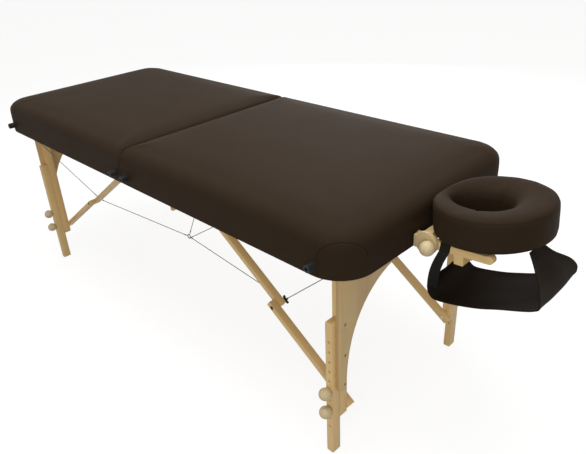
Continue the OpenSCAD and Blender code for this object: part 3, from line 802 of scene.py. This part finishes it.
handle_webbing = webbing("handle_webbing", (1, 0, 0), (0, 0, 1))
thread_black = vinyl("black_thread", 0.0006, (0.040, 0.040, 0.042), (0.020, 0.020, 0.021))
for half in HALVES:
    skin = surface_of(eased(f"{half}_handle", handle_webbing, 0.0009))
    low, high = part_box(f"{half}_handle")
    rows = []
    for x0 in (low.x, high.x - TAB):
        x1, z0, z1 = x0 + TAB - TAB_EDGE, low.z + TAB_EDGE, high.z - TAB_EDGE
        box = [(x0 + TAB_EDGE, z0), (x1, z0), (x1, z1), (x0 + TAB_EDGE, z1), (x0 + TAB_EDGE, z0), (x1, z1)]
        for (xa, za), (xb, zb) in list(zip(box, box[1:])) + [((x0 + TAB_EDGE, z1), (x1, z0))]:
            line = [Vector((xa + (xb - xa) * i / SEAM_STEPS, high.y + 0.1, za + (zb - za) * i / SEAM_STEPS))
                    for i in range(SEAM_STEPS + 1)]
            hits = [skin.ray_cast(p, Vector((0, -1, 0)))[0] for p in line]
            rows.append(stitches([(place, Vector((0, 1, 0))) for place in hits if place], SEAM_PITCH))
    fitted(mesh_piece(f"{half}_handle_stitches", *joined(*rows), thread_black), f"{half}_half", "webbing")


# Ball knobs
# Turned beech balls on steel clamping bolts, two on each lower leg, and a larger one on the tilt bolt.
# The grain runs along the bolt, and two lines are scored round the middle.
SCORED = (83.0, 97.0)
COLLAR, SCORE_DEPTH, SCORE_HALF = 0.5, 0.016, 1.6
BOLT_RADIUS, BOLT_TIP, BOLT_BEVEL, BOLT_IN = 0.004, 0.0032, 0.0008, 0.004


def ball(radius):
    """Profile of a knob from its seat to its tip, measured from the middle of the ball."""
    turns = [(t, 1.0) for t in range(30, 177, 6)]
    for middle in SCORED:
        turns += [(middle - SCORE_HALF, 1.0), (middle, 1.0 - SCORE_DEPTH), (middle + SCORE_HALF, 1.0)]
    seat = [(0.0012 - radius, 0.24), (0.0012 - radius, COLLAR - 0.04), (0.0020 - radius, COLLAR)]
    return ([(reach, share * radius) for reach, share in seat]
            + [(-radius * math.cos(math.radians(t)) * share, radius * math.sin(math.radians(t)) * share)
               for t, share in sorted(turns)])


def knob(node, body, hand):
    """A ball that stands for a knob's node, and the part of its bolt that shows."""
    low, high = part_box(node)
    radius = (high.z - low.z) / 2
    tip = high.y if hand > 0 else low.y
    middle = ((low.x + high.x) / 2, tip - hand * radius, (low.z + high.z) / 2)
    form = turned(middle, (0, hand, 0), ball(radius), 40)
    fitted(mesh_piece(node + "_ball", *form, knob_wood, 40), body, "beech", node)
    shank = abs(low.y if hand > 0 else high.y)
    reach = abs(tip) - radius - shank
    if reach > radius:
        bolt = [(-reach, BOLT_TIP), (BOLT_BEVEL - reach, BOLT_RADIUS), (-radius + BOLT_IN, BOLT_RADIUS)]
        form = turned(middle, (0, hand, 0), bolt, 20)
        fitted(mesh_piece(node + "_bolt", *form, zinc_y, 40), body, "steel", node)


knob_wood = wood("turned_beech", (0, 1, 0), (0.66, 0.535, 0.315), (0.58, 0.445, 0.24), 0.009)
for half in HALVES:
    for side, hand in (("near", -1), ("far", 1)):
        for level_name in ("top", "low"):
            node = f"{half}_{side}_{level_name}_knob"
            knob(node, node, hand)
knob("cradle_knob", "cradle_knob", -1)


# Brace bolts and cable cleats
# Black oxidised steel: the bolts of the upper braces, the pronged cleat on each elbow bolt's inner end,
# and the bolts' flat heads, let into the outside of the lower braces.
HEAD = [(-0.0236, 0.0036), (-0.0012, 0.0036), (-0.0010, 0.0062), (0.0, 0.0066), (0.0002, 0.0060),
        (0.0002, 0.0032), (-0.0009, 0.0028), (-0.0010, 0.0004)]
ELBOW_X, ELBOW_Z = 0.55181, 0.33985
for half in HALVES:
    eased(f"{half}_brace_hardware", black_steel, 0.0006)
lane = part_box("head_lower_braces")[1].y
for half, way in HALVES.items():
    heads = [turned((hinge_line.x + way * ELBOW_X, hand * lane, ELBOW_Z), (0, hand, 0), HEAD, 24)
             for hand in (-1, 1)]
    bolts = mesh_piece(f"{half}_elbow_bolts", *joined(*heads), black_steel, 35)
    fitted(bolts, f"{half}_lower_brace", "black_steel")


# Cables
# Thin galvanised wire rope with pressed ferrules, from each elbow's cleat to the frame corner and to a
# ring below the hinge. It keeps the braces straight when the table is loaded.
ROPE, STRANDS, LAY, ROPE_STEP = 0.0013, 6, 0.020, 0.0025
FERRULE = [(-0.0060, 0.0012), (-0.0060, 0.0016), (-0.0050, 0.0020), (0.0050, 0.0020), (0.0060, 0.0016),
           (0.0060, 0.0012)]
FERRULE_BACK = 0.010
HOOK, CORNER_HOLD, RING = (ELBOW_X, 0.212, ELBOW_Z), (0.872, 0.345, 0.642), (0.0, 0.159, 0.337)
RISER_TOP, RING_RADIUS, RING_WIRE, RING_STEPS = (0.0, 0.012, 0.622), 0.008, 0.0018, 28
PRONG, HOOK_BACK, RING_BACK, RISER_BACK = 0.018, 0.008, 0.011, 0.009
ROPE_STEEL, ROPE_GRIME = (0.30, 0.295, 0.28), (0.13, 0.125, 0.115)


def rope(start, end):
    """Wire rope from start to end with a ferrule near each end."""
    along = (end - start).normalized()
    steps = int((end - start).length / ROPE_STEP)
    points = [start.lerp(end, i / steps) for i in range(steps + 1)]
    ends = (start + along * FERRULE_BACK, end - along * FERRULE_BACK)
    return joined(tube(points, [ROPE] * len(points), 18, STRANDS, LAY),
                  *(turned(place, along, FERRULE, 14) for place in ends))


def galvanised(name):
    finish = Finish(name, Metallic=0.85)
    grime = finish.speckle(finish.place(), 320.0, 3.0)
    return finish.wear(Base_Color=finish.mix(grime, ROPE_STEEL, ROPE_GRIME),
                       Roughness=0.38 + grime * 0.25, Normal=finish.relief(grime, 0.00008))


def spot(place, way, hand):
    """A place on one half and one side of the table, measured from the hinge."""
    return Vector((hinge_line.x + way * place[0], hand * place[1], place[2]))


rope_steel = galvanised("wire_rope")
for half, way in HALVES.items():
    ropes = []
    for hand in (-1, 1):
        hook, hold, ring = (spot(p, way, hand) for p in (HOOK, CORNER_HOLD, RING))
        ropes.append(rope(hook + (hold - hook).normalized() * PRONG, hold))
        inward = (ring - hook).normalized()
        ropes.append(rope(hook + inward * HOOK_BACK, ring - inward * RING_BACK))
    cables = mesh_piece(f"{half}_wire_ropes", *joined(*ropes), rope_steel, 50)
    fitted(cables, f"{half}_upper_brace", "steel", f"{half}_cables")
    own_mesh(cables)
middle_ropes = []
for hand in (-1, 1):
    ring, top = (spot(p, 1, hand) for p in (RING, RISER_TOP))
    circle = [ring + RING_RADIUS * Vector((math.cos(a), 0, math.sin(a)))
              for a in (2 * math.pi * i / RING_STEPS for i in range(RING_STEPS + 1))]
    middle_ropes.append(tube(circle, [RING_WIRE] * len(circle)))
    middle_ropes.append(rope(ring + (top - ring).normalized() * RISER_BACK, top))
low_ring = Vector((hinge_line.x, -RING[1], RING[2] - RING_RADIUS))
middle_ropes.append(rope(low_ring, low_ring + Vector((0, 2 * RING[1], 0))))
centre_ropes = mesh_piece("middle_wire_ropes", *joined(*middle_ropes), rope_steel, 50)
fitted(centre_ropes, "hinge", "steel", "centre_cables")


# Face cradle
# A beech frame that plugs into the head end: posts, crossbar, rounded cheeks, side arms with a tie rail
# and a plywood platform, clamped by the big knob.
CHEEK_PALE, CHEEK_BROWN, CHEEK_EASE = (0.62, 0.48, 0.26), (0.52, 0.375, 0.18), 0.003
eased("cradle_posts", wood_x)
eased("cradle_crossbar", wood_y)
eased("cradle_cheeks", wood("cheek_beech", (1, 0, 0.3), CHEEK_PALE, CHEEK_BROWN), CHEEK_EASE)
eased("cradle_arms", wood_x)
low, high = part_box("cradle_platform")
eased("cradle_platform", plywood("platform_plywood", (1, 0, 0), "z", 5, low.z, high.z), 0.0008)


# Face cushion
# A padded ring in the same brown vinyl, lowest at its inner end. It is sewn round its upper and lower edge
# with a thin welt, is drawn into two pleats at its hole, and is held on the platform by tape.
RING_MIDDLE, RING_LONG, RING_WIDE = 1.073, 0.1395, 0.146
HOLE_MIDDLE, HOLE_LONG, HOLE_WIDE = 1.040, 0.074, 0.056
RING_FOOT, RING_HIGH, CHIN_DIP, REST_TILT = 0.672, 0.083, 0.009, math.radians(5)
SECTION = [(1, 0), (1, 0.55), (0.97, 0.82), (0.88, 0.97), (0.7, 1), (0.3, 0.98), (-0.2, 0.92), (-0.6, 0.8),
           (-0.87, 0.55), (-1, 0.15), (-1, -0.6), (-0.94, -0.9), (-0.8, -1), (0.8, -1), (0.95, -0.93),
           (1, -0.7)]
RING_VOXEL, RING_SWELL, RING_SMOOTHINGS = 0.004, 0.003, 6
RING_HELD, RING_FREE = RING_FOOT + 0.006, RING_FOOT + 0.03
PLEAT_TURN, PLEAT_WIDE, PLEAT_DEPTH = math.radians(74), 0.0045, 0.0045
PLEAT_FULL, PLEAT_GONE = 0.060, 0.105
PLEAT_LOW, PLEAT_HIGH = RING_FOOT + 0.02, RING_FOOT + 0.05
RING_SEAMS, RING_STITCHED = ((0.95, 0.88), (0.97, -0.90)), (1.0, 0.70)
ring_vinyl = vinyl("ring_vinyl", 0.0014)
tilt = joint_at["cradle_tilt"]


def ring_place(turn, out, up):
    """A place in the ring: round it, from its hole to its outside, and from its foot to its top."""
    c, s = math.cos(turn), math.sin(turn)
    outside = Vector((RING_MIDDLE + RING_LONG * c, RING_WIDE * s))
    inside = Vector((HOLE_MIDDLE + HOLE_LONG * c, HOLE_WIDE * s * (1 + 0.2 * c)))
    x, y = (outside + inside) / 2 + (outside - inside) / 2 * out
    z = RING_FOOT + (RING_HIGH - CHIN_DIP * max(0.0, -c) ** 8) / 2 * (1 + up)
    away, high = x + hinge_line.x - tilt.x, z - tilt.z
    return Vector((tilt.x + away * math.cos(REST_TILT) - high * math.sin(REST_TILT), y,
                   tilt.z + high * math.cos(REST_TILT) + away * math.sin(REST_TILT)))


def ring_hold(co):
    return fade(co.z - (co.x - tilt.x) * math.tan(REST_TILT), RING_HELD, RING_FREE)


turns = [math.radians(3 * i) for i in range(120)]
skins = [[ring_place(t, *place) for place in SECTION] for t in turns]
ring = mesh_piece("face_ring", *lofted(skins, "looped"), ring_vinyl)
even_mesh(ring, RING_VOXEL)
swollen(ring, ring_hold, RING_SWELL)
work = bmesh.new()
work.from_mesh(ring.data)
for _ in range(RING_SMOOTHINGS):
    relaxed(work, work.verts[:])
work.normal_update()
for v in work.verts:
    along, over = v.co.x - hinge_line.x - HOLE_MIDDLE, v.co.y
    reach = math.hypot(along, over)
    aside = (abs(math.atan2(over, along)) - PLEAT_TURN) * reach
    depth = PLEAT_DEPTH * math.exp(-(aside / PLEAT_WIDE) ** 2) * fade(reach, PLEAT_FULL, PLEAT_GONE)
    v.co -= v.normal * depth * (1 - fade(v.co.z, PLEAT_LOW, PLEAT_HIGH))
work.to_mesh(ring.data)
work.free()
shaded_smooth(ring.data)
fitted(ring, "cradle_head", "vinyl", "face_cushion")
skin = surface_of(ring)
edges = []
for seam in RING_SEAMS:
    run = [skin.find_nearest(ring_place(t, *seam))[0] for t in turns + turns[:2]]
    edges.append(tube(run, [WELT] * len(run)))
fitted(mesh_piece("ring_welts", *joined(*edges), ring_vinyl), "cradle_head", "vinyl")
row = [skin.find_nearest(ring_place(t, *RING_STITCHED))[:2] for t in turns + turns[:1]]
fitted(mesh_piece("ring_stitches", *stitches(row), thread_brown), "cradle_head", "vinyl")


# Arm sling
# A hammock of coated brown cloth below the cradle, hemmed on all edges. Two webbing straps hang its inner
# end from the outsides of the arms, and its tapered outer end is tacked to the platform.
SLING_LINE = [(0.966, 0.546), (0.963, 0.516), (0.974, 0.494), (1.000, 0.488), (1.080, 0.507), (1.155, 0.536),
              (1.214, 0.560), (1.2365, 0.5735), (1.2408, 0.5800), (1.2385, 0.5975), (1.229, 0.626),
              (1.206, 0.656), (1.184, 0.680)]
SLING_HALF = [0.092, 0.099, 0.102, 0.102, 0.101, 0.101, 0.102, 0.103, 0.103, 0.102, 0.084, 0.050, 0.030]
SLING_MIDDLE = [0.0] * 10 + [-0.010, -0.022, -0.024]
COLUMNS, LINE_STEPS = 44, 8
CLOTH, HEM, HEM_MORE, HEM_PITCH, HEM_SEWN = 0.0007, 0.011, 0.0006, 0.0045, 0.05
SAG, SAG_FROM, SAG_OVER, SAG_TOP, SAG_UNDER = 0.007, 0.966, 0.040, 0.640, 0.060
CORNER_PULL, PULL_REACH = 0.018, 0.06
RIPPLE, RIPPLE_LONG, RIPPLE_WIDE = 0.0016, 16, 1.6
# The sling's browns are darker than the cover's vinyl: painted shade for where it hangs below the cradle.
SLING_CLOTH_PAINTED_SHADE, SLING_DARK_PAINTED_SHADE = (0.016, 0.0108, 0.0072), (0.0105, 0.0072, 0.0050)
STRAP_LINE = [(0.972, 0.0905, 0.512), (0.975, 0.0955, 0.538), (0.983, 0.1040, 0.572), (0.995, 0.1120, 0.606),
              (1.010, 0.1215, 0.638), (1.0155, 0.1247, 0.650), (1.0180, 0.1247, 0.672)]
STRAP_HALF, STRAP_THICK, STRAP_EDGE = 0.013, 0.0009, 0.55
STRAP_TWIST, STRAP_FLATTER = math.radians(90), 0.3


def smoothed(points, steps):
    """A smooth curve through the points, with so many steps between each two."""
    last, curve = len(points) - 1, []
    for i in range(last):
        a, b, c, d = (Vector(points[k]) for k in (max(i - 1, 0), i, i + 1, min(i + 2, last)))
        for t in (k / steps for k in range(steps)):
            curve.append((2 * b + (c - a) * t + (2 * a - 5 * b + 4 * c - d) * t ** 2
                          + (3 * b - a - 3 * c + d) * t ** 3) / 2)
    return curve + [Vector(points[last])]


def band(rows):
    """A thin closed form from rows of (place, way out, half thickness) across a sheet."""
    width = len(rows[0])
    rings = [[p + n * h for p, n, h in row] + [p - n * h for p, n, h in reversed(row)] for row in rows]
    verts, faces = lofted(rings, "open")
    for start in (0, (len(rings) - 1) * 2 * width):
        faces += [(start + k, start + k + 1, start + 2 * width - 2 - k, start + 2 * width - 1 - k)
                  for k in range(width - 1)]
    return verts, faces


def share_of(value):
    """The value, kept between 0 and 1."""
    return min(1, max(0, value))


line = smoothed(SLING_LINE, LINE_STEPS)
spans = smoothed(list(zip(SLING_HALF, SLING_MIDDLE)), LINE_STEPS)
rows, run, length, area = [], {-1: [], 1: []}, 0.0, 0.0
for i, (place, (half_width, middle)) in enumerate(zip(line, spans)):
    ahead_of, behind = line[min(i + 1, len(line) - 1)], line[max(i - 1, 0)]
    heading = (ahead_of - behind).normalized()
    out = Vector((heading[1], 0, -heading[0]))
    if i:
        step = (place - line[i - 1]).length
        length += step
        area += step * (half_width + spans[i - 1][0])
    slack = share_of((place[0] - SAG_FROM) / SAG_OVER) * share_of((SAG_TOP - place[1]) / SAG_UNDER)
    from_ends = min((line[0] - place).length, (line[-1] - place).length) + 0.002
    row = []
    for k in range(COLUMNS + 1):
        v = 2 * k / COLUMNS - 1
        from_edge = min(half_width * (1 - abs(v)), from_ends)
        wave_at = Vector((place[0] * RIPPLE_LONG, v * RIPPLE_WIDE, place[1] * RIPPLE_LONG))
        ripple = RIPPLE * noise.noise(wave_at)
        pulled = CORNER_PULL * (v ** 4 - 0.6) * fade(length, 0.0, PULL_REACH)
        level = place[1] + SAG * (v * v - 1) * slack + pulled
        sewn = Vector((hinge_line.x + place[0], middle + half_width * v, level))
        thick = CLOTH + HEM_MORE * fade(from_edge, HEM - 0.002, HEM + 0.001)
        row.append((sewn + out * ripple, out, thick))
    rows.append(row)
    if half_width > HEM_SEWN:
        run[-1].append(row[1])
        run[1].append(row[COLUMNS - 1])
# Its colours carry painted shade.
sling_cloth = vinyl("sling_cloth", 0.0011, SLING_CLOTH_PAINTED_SHADE, SLING_DARK_PAINTED_SHADE)
sling = fitted(mesh_piece("sling", *band(rows), sling_cloth, 60), "cradle_head", "sling_cloth", "arm_sling")
hems = [stitches([(p + n * h * face, n * face) for p, n, h in run[edge]], HEM_PITCH)
        for edge in (-1, 1) for face in (-1, 1)]
hem_stitches = mesh_piece("sling_stitches", *joined(*hems), thread_brown)
fitted(hem_stitches, "cradle_head", "sling_cloth")
strap_webbing = webbing("strap_webbing", (0.3, 0, 1), (1, 0, -0.3))
course = smoothed(STRAP_LINE, 6)
straps = []
for hand in (-1, 1):
    strap_rows = []
    for i, place in enumerate(course):
        heading = (course[min(i + 1, len(course) - 1)] - course[max(i - 1, 0)]).normalized()
        heading.y *= hand
        twist = STRAP_TWIST * (1 - STRAP_FLATTER * fade(i, 2, len(course) - 12))
        wide = Vector((math.sin(twist), -hand * math.cos(twist), 0))
        out = heading.cross(wide).normalized()
        middle = Vector((hinge_line.x + place[0], hand * place[1], place[2]))
        strap_rows.append([(middle + wide * (STRAP_HALF * (k / 4 - 1)), out,
                            STRAP_THICK * (STRAP_EDGE if k in (0, 8) else 1)) for k in range(9)])
    straps.append(band(strap_rows))
strap_pair = mesh_piece("sling_straps", *joined(*straps), strap_webbing, 60)
fitted(strap_pair, "cradle_head", "webbing", "arm_sling")


low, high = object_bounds()
